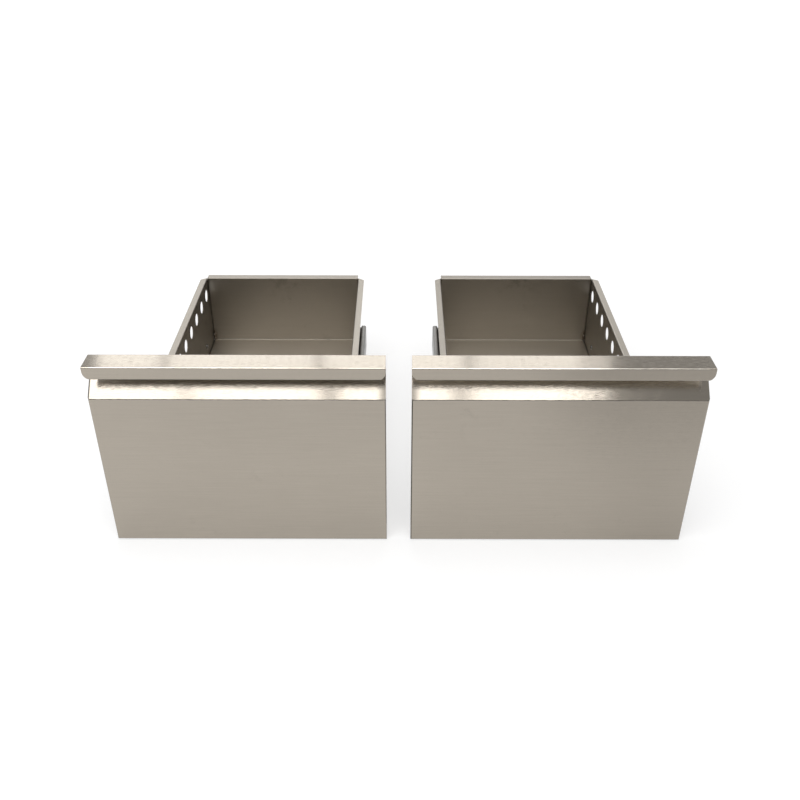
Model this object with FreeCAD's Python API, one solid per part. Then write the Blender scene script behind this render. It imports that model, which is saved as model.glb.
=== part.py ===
import FreeCAD, Part
import math
import os

# Outdoor kitchen drawer unit: two stainless drawers side by side, each with its pair of slides.
# Millimetres. X runs across the fronts, Y runs from the fronts to the back, Z runs up.
# Sections are drawn with Y = 0 on the face of the front panels and Z = 0 at their lower edge.
# Each drawer is drawn about X = 0, and its left side is mirrored to make the right side.
# The saved shapes are moved so that the origin is the middle of the unit, at its bottom.

Vector = FreeCAD.Vector

# Front: a folded skin with the full-width grip, closed behind by a liner
FRONT_WIDTH = 400.0
FRONT_GAP = 35.0
PANEL_HEIGHT = 247.0
GRIP_HEIGHT = 297.5
GRIP_DEPTH = 34.0
LIP_HEIGHT = 20.0
LIP_CORNER = 13.0
LIP_HEM = 5.0
RETURN_DEPTH = 30.0
SHEET = 1.0
PANEL_BEND = 1.5
EDGE_BEND = 0.5
LIP_BEND = 3.0
LINER_START = 20.0
FRONT_SEAM = 0.1

# Box: one tray sheet for front, floor and back, and two side walls with tabs round its ends
BOX_WIDTH = 282.0
BOX_BACK = 521.0
BOX_TOP = 180.0
FLOOR_TOP = 50.0
BOX_BEND = 0.9
CORNER_SEAM = 1.0
SIDE_FLANGE = 10.7
BACK_FLANGE = 13.5
FLANGE_MITRE = 7.0
WALL_TAB = 14.0
TAB_LOW = 52.0
TAB_HIGH = 175.0

# Vent holes along the top of each side wall
VENT_RADIUS = 11.0
VENT_SIDES = 18
VENT_HEIGHT = 154.0
VENT_COUNT = 10
VENT_PITCH = 47.2
VENT_FROM_BACK = 22.0

# Slide: three nested rails, 45 mm high, 12.7 mm thick and 18 inches long
SLIDE_LENGTH = 457.0
SLIDE_START = 38.0
SLIDE_THICKNESS = 12.7
SLIDE_HALF = 22.5
SLIDE_CENTRE = 72.0
RAIL_SHEET = 1.2
MIDDLE_SETBACK = 2.0

# Rail sections, measured from the cabinet's wall. The races of the two outer rails are
# rounded to the radius of the balls, and their lips turn in as far as the middle of the balls.
BALL_RADIUS = 2.0
RACE_LIP = 3.3
CABINET_RAIL_REACH = 9.0
MIDDLE_RAIL_WEB = 2.4
MIDDLE_RAIL_REACH = 10.4
MIDDLE_RAIL_HALF = 17.3
DRAWER_RAIL_REACH = 5.0
DRAWER_RAIL_HALF = 12.1
DRAWER_RAIL_LIP = 2.3
DRAWER_RAIL_BEND = 0.8

# Ball cages: a folded strip between two rails, with pockets for the balls
CAGE_SHEET = 0.6
CAGE_START = 118.0
CAGE_LENGTH = 216.0
CAGE_DROP = 0.4
OUTER_CAGE_WEB = 1.5
OUTER_CAGE_REACH = 8.8
INNER_CAGE_WEB = 3.9
INNER_CAGE_REACH = 9.8
POCKET_COUNT = 5
POCKET_SIZE = 4.1

# Holes in the cabinet rails for the screws into the cabinet
MOUNT_HOLE_RADIUS = 2.3
MOUNT_HOLE_SETBACKS = (35.0, 419.0)

# Screws that hold the drawer rails to the side walls
SCREW_RADIUS = 2.0
SCREW_CLEARANCE = 0.1
SCREW_HEAD_RADIUS = 4.5
SCREW_HEAD_HEIGHT = 2.0
SCREW_LENGTH = 3.4
SCREW_SETBACKS = (39.0, 415.0)
FASTENER_SIDES = 10

# Release lever on its rivet, inside the drawer rail
LEVER_WIDTH = 6.4
LEVER_THICKNESS = 3.0
LEVER_STANDOFF = 2.0
LEVER_GAP = 0.1
LEVER_PIVOT = 66.0
LEVER_REACH = 54.0
LEVER_TAIL = 9.0
LEVER_TAIL_ROUND = 2.6
LEVER_TIP_WIDTH = 9.0
LEVER_TIP_LENGTH = 14.0
RIVET_RADIUS = 2.0
RIVET_FIT = 0.06
RIVET_HEAD_RADIUS = 3.3
RIVET_HEAD_HEIGHT = 0.9

# Rubber stops at the back of the cabinet rails, and pads on the back of the fronts
STOP_LENGTH = 6.0
STOP_REACH = 11.5
STOP_GAP = 0.3
STOP_SEAM = 0.1
PAD_SIZE = 10.0
PAD_THICKNESS = 3.0
PAD_CHAMFER = 1.0
PAD_INSET = 20.0
PAD_HEIGHTS = (20.0, 240.0)

# Bends of the box, the rails and the small pieces are drawn as this many flats, and those
# of the front as arcs
BEND_FLATS = 4

# Sizes that follow from those above
HALF_FRONT = FRONT_WIDTH / 2
HALF_BOX = BOX_WIDTH / 2
LINER_BACK = GRIP_DEPTH + SHEET
BOX_FRONT = LINER_BACK + 2 * SHEET
LIP_BOTTOM = GRIP_HEIGHT - LIP_HEIGHT
FLOOR_BOTTOM = FLOOR_TOP - SHEET
TAB_BACK = BOX_BACK + SHEET
TAB_FRONT = LINER_BACK + SHEET
SLIDE_OUTSIDE = HALF_BOX + SHEET + SLIDE_THICKNESS
SLIDE_END = SLIDE_START + SLIDE_LENGTH
STOP_START = SLIDE_END - STOP_LENGTH
RAIL_END = STOP_START - STOP_GAP
CABINET_RACE = SLIDE_HALF - RAIL_SHEET
MIDDLE_RACE = MIDDLE_RAIL_HALF - RAIL_SHEET
RAIL_WEB_FACE = -(HALF_BOX + SHEET + RAIL_SHEET)
LEVER_FAR = RAIL_WEB_FACE - LEVER_STANDOFF
LEVER_NEAR = LEVER_FAR - LEVER_THICKNESS
DRAWER_CENTRES = {
    "left_drawer": -(FRONT_GAP + FRONT_WIDTH) / 2,
    "right_drawer": (FRONT_GAP + FRONT_WIDTH) / 2,
}
MIDDLE_OF_DEPTH = (BOX_BACK + BACK_FLANGE - SHEET) / 2
ACROSS = Vector(1, 0, 0)
OVERRUN = 5.0


# Sections and plans are lists of pairs, and these three place a pair in space

def side_view(back, up):
    return Vector(0, back, up)


def front_view(across, up):
    return Vector(across, 0, up)


def plan_view(across, back):
    return Vector(across, back, 0)


NORMALS = {
    side_view: ACROSS,
    front_view: Vector(0, 1, 0),
    plan_view: Vector(0, 0, 1),
}


def direction(start, end):
    length = math.hypot(end[0] - start[0], end[1] - start[1])
    return (end[0] - start[0]) / length, (end[1] - start[1]) / length


def offset_to_right(path, distance):
    """The path moved to its right, with mitred corners."""
    steps = [direction(path[i], path[i + 1]) for i in range(len(path) - 1)]
    moved = []
    for i, point in enumerate(path):
        before = steps[max(i - 1, 0)]
        after = steps[min(i, len(steps) - 1)]
        normal = (before[1] + after[1], -before[0] - after[0])
        scale = 2 * distance / (normal[0] ** 2 + normal[1] ** 2)
        moved.append((point[0] + normal[0] * scale, point[1] + normal[1] * scale))
    return moved


def straight(start, end, view):
    return Part.LineSegment(view(*start), view(*end)).toShape()


def bend_points(corner, before, after, radius, steps):
    """Points round a bend at a corner, from the end of one run to the start of the next."""
    side = math.copysign(1, before[0] * after[1] - before[1] * after[0])
    turn = math.acos(before[0] * after[0] + before[1] * after[1])
    reach = radius * math.tan(turn / 2)
    across = corner[0] - before[0] * reach - before[1] * radius * side
    along = corner[1] - before[1] * reach + before[0] * radius * side
    first = math.atan2(-before[0] * side, before[1] * side)
    angles = [first + side * turn * i / steps for i in range(steps + 1)]
    return [(across + radius * math.cos(angle), along + radius * math.sin(angle)) for angle in angles]


def rounded_run(path, radii, view, flats):
    """Edges along the path. Each inner corner has its own radius, and 0 leaves it sharp.

    A bend is drawn as the given number of flats, or as an arc where that is 0.
    """
    edges = []
    start = path[0]
    for i, radius in enumerate(radii, 1):
        if not radius:
            edges.append(straight(start, path[i], view))
            start = path[i]
            continue
        before = direction(path[i - 1], path[i])
        after = direction(path[i], path[i + 1])
        points = bend_points(path[i], before, after, radius, flats or 2)
        edges.append(straight(start, points[0], view))
        if flats:
            edges.extend(straight(a, b, view) for a, b in zip(points, points[1:]))
        else:
            edges.append(Part.Arc(*[view(*point) for point in points]).toShape())
        start = points[-1]
    edges.append(straight(start, path[-1], view))
    return edges


def extrude_edges(edges, view, start, end):
    face = Part.Face(Part.Wire(edges))
    face.translate(NORMALS[view] * start)
    return face.extrude(NORMALS[view] * (end - start))


def folded_sheet(path, thickness, bends, view, start, end, flats=BEND_FLATS):
    """A folded sheet. The path is one of its faces, and the other face lies to its right.

    Each corner of the path has its inner bend radius.
    """
    other = offset_to_right(path, thickness)
    radii = []
    other_radii = []
    for i, bend in enumerate(bends, 1):
        before = direction(path[i - 1], path[i])
        after = direction(path[i], path[i + 1])
        turns_left = before[0] * after[1] - before[1] * after[0] > 0
        radii.append(bend if turns_left else bend + thickness)
        other_radii.append(bend + thickness if turns_left else bend)
    edges = rounded_run(path, radii, view, flats)
    edges.append(straight(path[-1], other[-1], view))
    edges.extend(rounded_run(other[::-1], other_radii[::-1], view, flats))
    edges.append(straight(other[0], path[0], view))
    return extrude_edges(edges, view, start, end)


def block(outline, radii, view, start, end, flats=0):
    """A solid with a closed outline. The radii round the corners from the second to the last."""
    edges = rounded_run(outline + outline[:1], radii, view, flats)
    return extrude_edges(edges, view, start, end)


def box(x, y, z):
    """A box between two limits on each axis."""
    return Part.makeBox(x[1] - x[0], y[1] - y[0], z[1] - z[0], Vector(x[0], y[0], z[0]))


def cylinder(radius, start, axis, length):
    return Part.makeCylinder(radius, length, start, axis)


def prism(sides, radius, start, length):
    """A regular prism along X, the near round of vents and small fasteners."""
    turns = [2 * math.pi * i / sides for i in range(sides + 1)]
    rim = [start + Vector(0, radius * math.cos(turn), radius * math.sin(turn)) for turn in turns]
    return Part.Face(Part.makePolygon(rim)).extrude(ACROSS * length)


def mirrored(shape):
    return shape.mirror(Vector(0, 0, 0), Vector(1, 0, 0))


def pan(side_outline, side_radii, half_width, closed_at, open_at, bend, flats=0):
    """A block with the side outline, whose upright edges on the closed face are rounded."""
    plan = [
        (-half_width, open_at),
        (-half_width, closed_at),
        (half_width, closed_at),
        (half_width, open_at),
    ]
    height = (-OVERRUN, GRIP_HEIGHT + OVERRUN)
    rounded_plan = block(plan, (bend, bend, 0), plan_view, *height, flats)
    sides = block(side_outline, side_radii, side_view, -half_width, half_width, flats)
    return rounded_plan.common(sides)


# The front

def skin_outline(inset):
    """The side view of the front panel's pan, moved inwards by an inset on every face."""
    top = PANEL_HEIGHT - inset * (math.sqrt(2) - 1)
    open_depth = RETURN_DEPTH + (OVERRUN if inset else 0)
    return [(open_depth, inset), (inset, inset), (inset, top), (open_depth, top + open_depth - inset)]


def front_skin():
    """Panel, side returns and 45 degree recess, then the riser, top and lip of the grip."""
    bend = PANEL_BEND + SHEET
    outside = pan(skin_outline(0), (bend, bend, 0), HALF_FRONT, 0, RETURN_DEPTH, bend)
    inner_half = HALF_FRONT - SHEET
    inner_radii = (PANEL_BEND, PANEL_BEND, 0)
    open_at = RETURN_DEPTH + OVERRUN
    inside = pan(skin_outline(SHEET), inner_radii, inner_half, SHEET, open_at, PANEL_BEND)
    recess_join = RETURN_DEPTH - 2 * SHEET
    grip_path = [
        (recess_join, PANEL_HEIGHT + recess_join),
        (GRIP_DEPTH, PANEL_HEIGHT + GRIP_DEPTH),
        (GRIP_DEPTH, GRIP_HEIGHT - SHEET),
        (0, GRIP_HEIGHT - SHEET),
        (0, LIP_BOTTOM + SHEET),
        (LIP_HEM, LIP_BOTTOM + SHEET),
    ]
    bends = (PANEL_BEND, PANEL_BEND, EDGE_BEND, LIP_BEND)
    grip = folded_sheet(grip_path, SHEET, bends, side_view, -HALF_FRONT, HALF_FRONT, 0)
    return outside.cut(inside).fuse(grip).cut(lip_corners()).removeSplitter()


def lip_corners():
    """What is cut from both ends of the lip to round its lower corners."""
    inner = HALF_FRONT - LIP_CORNER
    top = LIP_BOTTOM + LIP_CORNER
    end = (-HALF_FRONT - OVERRUN, -inner)
    corner = box(end, (-OVERRUN, LIP_HEM + OVERRUN), (LIP_BOTTOM - OVERRUN, top))
    centre = Vector(-inner, -2 * OVERRUN, top)
    left = corner.cut(cylinder(LIP_CORNER, centre, Vector(0, 1, 0), LIP_HEM + 4 * OVERRUN))
    return [left, mirrored(left)]


def front_liner():
    """The lid that closes the back of the front skin, with its upper edge close under the riser."""
    half = HALF_FRONT - SHEET - FRONT_SEAM
    bottom = SHEET + FRONT_SEAM
    under_recess = PANEL_HEIGHT - (SHEET + FRONT_SEAM) * math.sqrt(2)
    outline = [
        (LINER_START, bottom),
        (LINER_BACK, bottom),
        (LINER_BACK, under_recess + GRIP_DEPTH),
        (GRIP_DEPTH, under_recess + GRIP_DEPTH),
        (LINER_START, under_recess + LINER_START),
    ]
    hollow = [
        (LINER_START - OVERRUN, bottom + SHEET),
        (GRIP_DEPTH, bottom + SHEET),
        (GRIP_DEPTH, GRIP_HEIGHT),
        (LINER_START - OVERRUN, GRIP_HEIGHT),
    ]
    bend = PANEL_BEND + SHEET
    open_at = LINER_START - OVERRUN
    outside = pan(outline, (bend, 0, 0, 0), half, LINER_BACK, LINER_START, bend, BEND_FLATS)
    inside = pan(hollow, (PANEL_BEND, 0, 0), half - SHEET, GRIP_DEPTH, open_at, PANEL_BEND, BEND_FLATS)
    return outside.cut(inside)


# The box

def tray():
    """Front, floor and back of the box in one sheet, with a flange turned to the rear."""
    path = [
        (BOX_FRONT, BOX_TOP),
        (BOX_FRONT, FLOOR_TOP),
        (BOX_BACK, FLOOR_TOP),
        (BOX_BACK, BOX_TOP),
        (BOX_BACK + BACK_FLANGE, BOX_TOP),
    ]
    half = HALF_BOX - CORNER_SEAM
    return folded_sheet(path, SHEET, (BOX_BEND,) * 3, side_view, -half, half)


def left_wall():
    """Side wall with its top flange, floor flange, end tabs and vent holes."""
    section = [
        (-HALF_BOX - SIDE_FLANGE, BOX_TOP),
        (-HALF_BOX, BOX_TOP),
        (-HALF_BOX, FLOOR_BOTTOM),
        (-HALF_BOX + WALL_TAB, FLOOR_BOTTOM),
    ]
    start = TAB_FRONT + BOX_BEND
    end = TAB_BACK - BOX_BEND
    bends = (BOX_BEND, BOX_BEND)
    wall = folded_sheet(section, SHEET, bends, front_view, start, end)
    tabs = [
        (-HALF_BOX + WALL_TAB, TAB_BACK),
        (-HALF_BOX, TAB_BACK),
        (-HALF_BOX, TAB_FRONT),
        (-HALF_BOX + WALL_TAB, TAB_FRONT),
    ]
    wall = wall.fuse(folded_sheet(tabs, SHEET, bends, plan_view, TAB_LOW, TAB_HIGH))
    mitre = [
        (-HALF_BOX, end),
        (-HALF_BOX - SIDE_FLANGE, end - FLANGE_MITRE),
        (-HALF_BOX - SIDE_FLANGE - OVERRUN, end - FLANGE_MITRE),
        (-HALF_BOX - SIDE_FLANGE - OVERRUN, end + OVERRUN),
        (-HALF_BOX, end + OVERRUN),
    ]
    corner = block(mitre, (0, 0, 0, 0), plan_view, TAB_HIGH, BOX_TOP + OVERRUN)
    return wall.cut([corner] + vents() + screw_holes()).removeSplitter()


def vents():
    start = -HALF_BOX - OVERRUN
    last = BOX_BACK - VENT_FROM_BACK
    centres = [Vector(start, last - VENT_PITCH * i, VENT_HEIGHT) for i in range(VENT_COUNT)]
    return [prism(VENT_SIDES, VENT_RADIUS, centre, 2 * OVERRUN) for centre in centres]


def screw_seats():
    depths = [SLIDE_START + setback for setback in SCREW_SETBACKS]
    return [Vector(-HALF_BOX, depth, SLIDE_CENTRE) for depth in depths]


def screw_holes():
    """Clearance holes for the rail screws, through the wall and the drawer rail."""
    radius = SCREW_RADIUS + SCREW_CLEARANCE
    return [prism(FASTENER_SIDES, radius, seat + ACROSS, -2 * OVERRUN) for seat in screw_seats()]


# The slide on the left side of a drawer

def rail_section(points):
    """Points given from the cabinet's wall and the slide's centre line, placed in the front view."""
    return [(out - SLIDE_OUTSIDE, up + SLIDE_CENTRE) for out, up in points]


def race_rail(web, reach, half, start, end):
    """A channel whose web faces the cabinet, with a rounded race along each edge."""
    section = rail_section([
        (reach, RACE_LIP - half),
        (reach, -half),
        (web, -half),
        (web, half),
        (reach, half),
        (reach, half - RACE_LIP),
    ])
    return folded_sheet(section, RAIL_SHEET, (BALL_RADIUS,) * 4, front_view, start, end)


def cabinet_rail():
    rail = race_rail(0, CABINET_RAIL_REACH, SLIDE_HALF, SLIDE_START, SLIDE_END)
    depths = [SLIDE_START + setback for setback in MOUNT_HOLE_SETBACKS]
    centres = [Vector(-SLIDE_OUTSIDE - OVERRUN, depth, SLIDE_CENTRE) for depth in depths]
    return rail.cut([cylinder(MOUNT_HOLE_RADIUS, c, ACROSS, 2 * OVERRUN) for c in centres])


def middle_rail():
    start = SLIDE_START + MIDDLE_SETBACK
    return race_rail(MIDDLE_RAIL_WEB, MIDDLE_RAIL_REACH, MIDDLE_RAIL_HALF, start, RAIL_END)


def drawer_rail():
    section = rail_section([
        (DRAWER_RAIL_REACH, DRAWER_RAIL_HALF - DRAWER_RAIL_LIP),
        (DRAWER_RAIL_REACH, DRAWER_RAIL_HALF),
        (SLIDE_THICKNESS, DRAWER_RAIL_HALF),
        (SLIDE_THICKNESS, -DRAWER_RAIL_HALF),
        (DRAWER_RAIL_REACH, -DRAWER_RAIL_HALF),
        (DRAWER_RAIL_REACH, DRAWER_RAIL_LIP - DRAWER_RAIL_HALF),
    ])
    bends = (DRAWER_RAIL_BEND,) * 4
    rail = folded_sheet(section, RAIL_SHEET, bends, front_view, SLIDE_START, RAIL_END)
    return rail.cut(screw_holes())


def ball_cage(web, reach, race_reach, race):
    """A strip folded to a channel, with square pockets in both of its flanges.

    It holds the balls that run in the races at a reach and a height on each side.
    """
    half = race - BALL_RADIUS - CAGE_DROP
    section = rail_section([(reach, -half), (web, -half), (web, half), (reach, half)])
    start = SLIDE_START + CAGE_START
    cage = folded_sheet(section, CAGE_SHEET, (0, 0), front_view, start, start + CAGE_LENGTH)
    pitch = CAGE_LENGTH / POCKET_COUNT
    across = race_reach - RAIL_SHEET - BALL_RADIUS - SLIDE_OUTSIDE
    pocket_x = (across - POCKET_SIZE / 2, across + POCKET_SIZE / 2)
    pockets = []
    for i in range(POCKET_COUNT):
        middle = start + pitch * (i + 0.5)
        pocket_y = (middle - POCKET_SIZE / 2, middle + POCKET_SIZE / 2)
        for flange in (-half, half):
            level = flange + SLIDE_CENTRE
            pockets.append(box(pocket_x, pocket_y, (level - 2 * CAGE_SHEET, level + 2 * CAGE_SHEET)))
    return cage.cut(pockets)


def outer_cage():
    return ball_cage(OUTER_CAGE_WEB, OUTER_CAGE_REACH, CABINET_RAIL_REACH, CABINET_RACE)


def inner_cage():
    return ball_cage(INNER_CAGE_WEB, INNER_CAGE_REACH, MIDDLE_RAIL_REACH, MIDDLE_RACE)


def rear_stop():
    """Rubber block in the back end of the cabinet rail, with a nose between the rail's lips."""
    back = RAIL_SHEET + STOP_SEAM
    shoulder = CABINET_RAIL_REACH - RAIL_SHEET - STOP_SEAM
    half = CABINET_RACE - STOP_SEAM
    nose = SLIDE_HALF - RACE_LIP - STOP_GAP
    upper = [(back, half), (shoulder, half), (shoulder, nose), (STOP_REACH, nose)]
    outline = [(back, 0)] + upper + [(out, -up) for out, up in upper[::-1]]
    radii = (BALL_RADIUS, BALL_RADIUS, 0, 0, 0, 0, BALL_RADIUS, BALL_RADIUS)
    return block(rail_section(outline), radii, front_view, STOP_START, SLIDE_END, BEND_FLATS)


def rail_screws():
    """Screws from inside the box through the wall into the drawer rail."""
    solids = []
    for seat in screw_seats():
        head = prism(FASTENER_SIDES, SCREW_HEAD_RADIUS, seat, SCREW_HEAD_HEIGHT)
        solids.append(head.fuse(prism(FASTENER_SIDES, SCREW_RADIUS, seat, -SCREW_LENGTH)))
    return Part.makeCompound(solids)


def release_lever():
    """A flat lever with a rounded tail behind its pivot and a wider finger tip at its front end."""
    pivot = SLIDE_START + LEVER_PIVOT
    front = pivot - LEVER_REACH
    neck = front + LEVER_TIP_LENGTH
    half = LEVER_WIDTH / 2
    half_tip = LEVER_TIP_WIDTH / 2
    tip_round = half_tip - half
    upper = [
        (pivot + LEVER_TAIL, half),
        (neck + tip_round, half),
        (neck, half_tip),
        (front, half_tip),
    ]
    outline = [(pivot + LEVER_TAIL, 0)] + upper + [(back, -up) for back, up in upper[::-1]]
    placed = [(back, up + SLIDE_CENTRE) for back, up in outline]
    radii = (LEVER_TAIL_ROUND, 0, 0, tip_round, tip_round, 0, 0, LEVER_TAIL_ROUND)
    bar = block(placed, radii, side_view, LEVER_NEAR, LEVER_FAR, BEND_FLATS)
    centre = Vector(LEVER_NEAR, pivot, SLIDE_CENTRE)
    return bar.cut(cylinder(RIVET_RADIUS + RIVET_FIT, centre, ACROSS, LEVER_THICKNESS))


def lever_rivet():
    """Rivet on the drawer rail's web, with its head in front of the lever."""
    seat = Vector(RAIL_WEB_FACE, SLIDE_START + LEVER_PIVOT, SLIDE_CENTRE)
    head_seat = Vector(LEVER_NEAR - LEVER_GAP, seat.y, seat.z)
    shaft = cylinder(RIVET_RADIUS, seat, ACROSS * -1, seat.x - head_seat.x)
    return shaft.fuse(prism(FASTENER_SIDES, RIVET_HEAD_RADIUS, head_seat, -RIVET_HEAD_HEIGHT))


# Rubber pads on the back of the front

def rubber_pads():
    """Bevelled pads on the liner, which meet the cabinet when the drawer shuts."""
    half = PAD_SIZE / 2
    rear = LINER_BACK + PAD_THICKNESS
    pads = []
    for x in (PAD_INSET - HALF_FRONT, HALF_FRONT - PAD_INSET):
        for z in PAD_HEIGHTS:
            pad = box((x - half, x + half), (LINER_BACK, rear), (z - half, z + half))
            rim = [edge for edge in pad.Edges if edge.BoundBox.YMin > LINER_BACK + PAD_THICKNESS / 2]
            pads.append(pad.makeChamfer(PAD_CHAMFER, rim))
    return Part.makeCompound(pads)


WHOLE_PARTS = {
    "front_skin": front_skin,
    "front_liner": front_liner,
    "tray": tray,
    "rubber_pads": rubber_pads,
}

HANDED_PARTS = {
    "wall": left_wall,
    "cabinet_rail": cabinet_rail,
    "rear_stop": rear_stop,
    "outer_cage": outer_cage,
    "middle_rail": middle_rail,
    "inner_cage": inner_cage,
    "drawer_rail": drawer_rail,
    "rail_screws": rail_screws,
    "lever_rivet": lever_rivet,
    "release_lever": release_lever,
}


def save(shape, node, across):
    placed = shape.copy()
    placed.translate(Vector(across, -MIDDLE_OF_DEPTH, 0))
    placed.exportStep(f"parts/{node}.step")


os.makedirs("parts", exist_ok=True)
for part_name, make in WHOLE_PARTS.items():
    shape = make()
    for drawer, centre in DRAWER_CENTRES.items():
        save(shape, f"{drawer}_{part_name}", centre)
for part_name, make in HANDED_PARTS.items():
    left_shape = make()
    for drawer, centre in DRAWER_CENTRES.items():
        save(left_shape, f"{drawer}_{part_name}_l", centre)
        save(mirrored(left_shape), f"{drawer}_{part_name}_r", centre)
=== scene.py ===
"""Outdoor kitchen drawer unit: the finishes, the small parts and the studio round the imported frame."""

import math

import bmesh
import bpy
from mathutils import Matrix, Vector


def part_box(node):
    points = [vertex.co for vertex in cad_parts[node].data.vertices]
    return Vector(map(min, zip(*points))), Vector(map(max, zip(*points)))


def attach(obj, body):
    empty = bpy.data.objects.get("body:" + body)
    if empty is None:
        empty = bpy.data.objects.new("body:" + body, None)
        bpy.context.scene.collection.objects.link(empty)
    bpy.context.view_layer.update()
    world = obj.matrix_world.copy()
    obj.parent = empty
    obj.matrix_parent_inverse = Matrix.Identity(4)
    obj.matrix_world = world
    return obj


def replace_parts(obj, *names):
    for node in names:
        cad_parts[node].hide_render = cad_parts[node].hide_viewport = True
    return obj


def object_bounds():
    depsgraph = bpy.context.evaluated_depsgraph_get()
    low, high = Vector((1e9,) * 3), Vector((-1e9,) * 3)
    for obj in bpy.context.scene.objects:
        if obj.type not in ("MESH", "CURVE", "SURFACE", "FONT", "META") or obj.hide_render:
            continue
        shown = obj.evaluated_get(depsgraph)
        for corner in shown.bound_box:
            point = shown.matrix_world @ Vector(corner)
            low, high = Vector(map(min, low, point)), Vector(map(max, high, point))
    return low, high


bl_info = {
    "name": "Outdoor Kitchen Drawers",
    "version": (1, 0, 0),
    "blender": (4, 5, 0),
    "location": "3D View > Sidebar > Drawers",
    "description": "Finishes a pair of brushed stainless drawers and their ball-bearing slides",
    "category": "Object",
}

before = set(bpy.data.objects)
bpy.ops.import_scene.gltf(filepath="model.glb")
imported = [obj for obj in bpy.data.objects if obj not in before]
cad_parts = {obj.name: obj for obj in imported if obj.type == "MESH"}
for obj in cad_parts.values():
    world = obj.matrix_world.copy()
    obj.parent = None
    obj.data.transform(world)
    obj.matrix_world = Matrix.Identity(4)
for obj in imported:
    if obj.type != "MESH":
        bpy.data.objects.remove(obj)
CAD_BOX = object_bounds()

DRAWERS = ("left_drawer", "right_drawer")
SIDES = {"l": -1, "r": 1}
MM = 0.001
SHEET = 1.0 * MM
RAIL_SHEET = 1.2 * MM
CAGE_SHEET = 0.6 * MM
LIP_HEIGHT = 20 * MM
BACK_FLANGE = 13.5 * MM
POCKETS = 5
BALL_CLEARANCE = 0.05 * MM
RIM_RADIUS = 2.9 * MM
SCREW_HEAD = 2.0 * MM
SCREW_THREAD = 1.95 * MM
THREAD_PITCH = 0.7 * MM
RECESS_DEPTH = 1.1 * MM
FRONT_SCREW_SPREAD = 100 * MM
RIVET_HEAD = 0.9 * MM
RIVET_SHANK = 2.0 * MM
RIBS = 5
RIB_PITCH = 2.1 * MM
WELD_DROP = 0.9 * MM
TACK_RADIUS = 1.0 * MM
TACK_LENGTH = 5.3 * MM
SEAM_BEAD = 12 * MM
FLOOR_GAP = 0.2 * MM
FLOOR_HALF = 8.0

# Edges sharper than this aren't smoothed, on most pieces and on balls and welds
SHARP_EDGE = math.radians(35)
SHARP_WELD = math.radians(60)

# Faces round each turned piece
SCREW_SIDES = 32
RIM_SIDES = 24
SPOT_SIDES = 20
BEAD_SIDES = 14
RIB_SIDES = 10

# Brushing, in widths of a fine grain line
GRAIN_LENGTH = 80.0
STREAK_WIDTH = 12.0
STREAK_LENGTH = 650.0

# Ball cages: the rails outside and inside each, and how far its pockets stand from its web
CAGES = {
    "outer": ("cabinet_rail", "middle_rail", 4.3 * MM),
    "inner": ("middle_rail", "drawer_rail", 3.3 * MM),
}


def sides(drawer):
    """The drawer's two sides, as the ending of a node's name and the side's sign along X."""
    return [(f"{drawer}_{{}}_{end}".format, sign) for end, sign in SIDES.items()]


# Shader expressions


class Value:
    """One output of a shader node. Arithmetic on it adds Math nodes to the same tree."""

    def __init__(self, nodes, socket):
        self.nodes = nodes
        self.socket = socket

    def math(self, operation, *operands):
        return self.nodes.add("ShaderNodeMath", {"operation": operation}, dict(enumerate(operands)))

    def __add__(self, other):
        return self.math("ADD", self, other)

    def __radd__(self, other):
        return self.math("ADD", other, self)

    def __sub__(self, other):
        return self.math("SUBTRACT", self, other)

    def __rsub__(self, other):
        return self.math("SUBTRACT", other, self)

    def __mul__(self, other):
        return self.math("MULTIPLY", self, other)

    def __rmul__(self, other):
        return self.math("MULTIPLY", other, self)

    def __gt__(self, other):
        return self.math("GREATER_THAN", self, other)

    def __abs__(self):
        return self.math("ABSOLUTE", self)

    def at_most(self, other):
        return self.math("MINIMUM", self, other)

    def at_least(self, other):
        return self.math("MAXIMUM", self, other)

    def ramp(self, low, high):
        """0 below low, 1 above high, and a smooth step between them."""
        settings = {"interpolation_type": "SMOOTHSTEP", "clamp": True}
        inputs = {"Value": self, "From Min": low, "From Max": high}
        return self.nodes.add("ShaderNodeMapRange", settings, inputs)


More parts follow.
